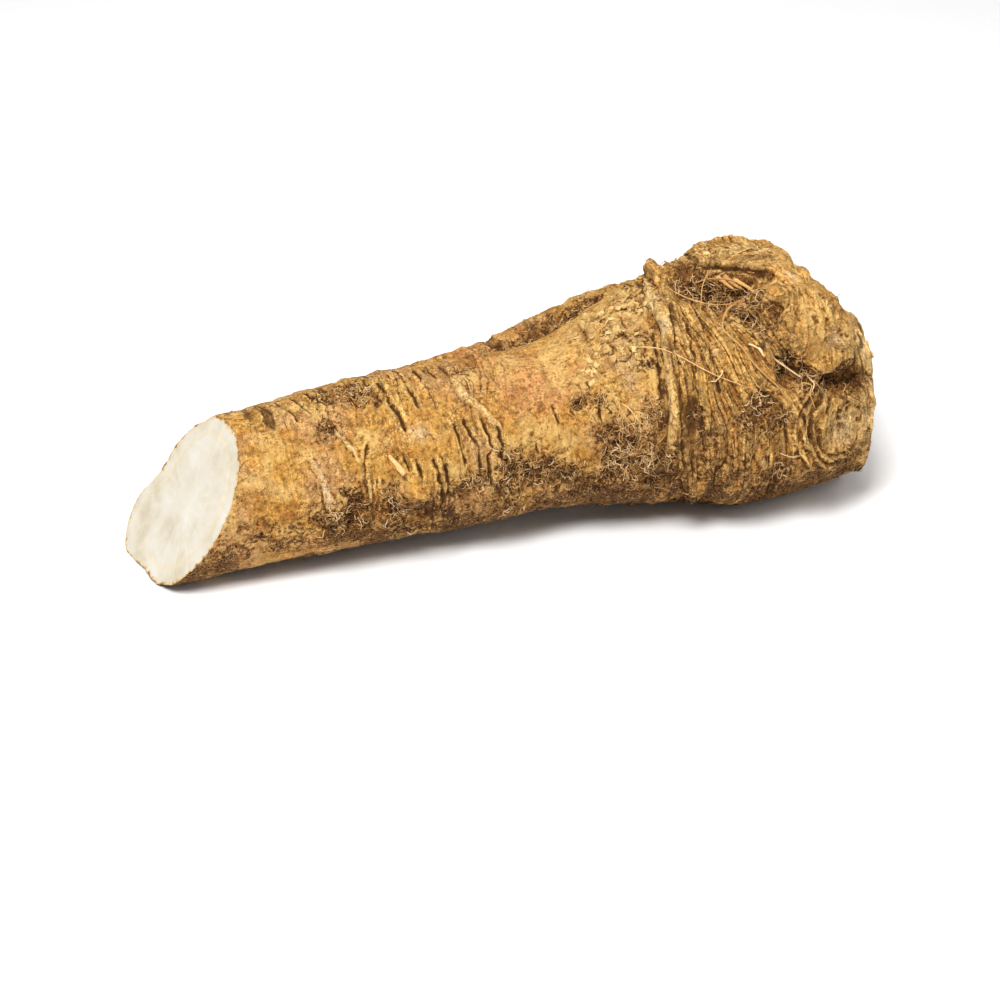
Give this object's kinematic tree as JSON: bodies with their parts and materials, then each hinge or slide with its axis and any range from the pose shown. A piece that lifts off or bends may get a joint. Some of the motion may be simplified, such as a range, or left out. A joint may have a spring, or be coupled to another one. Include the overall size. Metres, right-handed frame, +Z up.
{
  "type": "horseradish root",
  "caption": "Stout horseradish taproot lying on its side, cut obliquely at its thin end, with a second root along its back and a lobed, scarred crown.",
  "frame": {"origin": "centre of the bounding box's bottom face, on the surface that the root rests on", "axes": "+X along the root from the cut end to the crown, +Y towards its back, +Z up"},
  "size_m": [0.2198, 0.0784, 0.071],
  "materials": {
    "skin": "dry, rough tan bark-like skin with brown creases",
    "flesh": "cream-white cut flesh, slightly moist"
  },
  "bodies": {
    "root": {"root": "skin"}
  },
  "joints": []
}
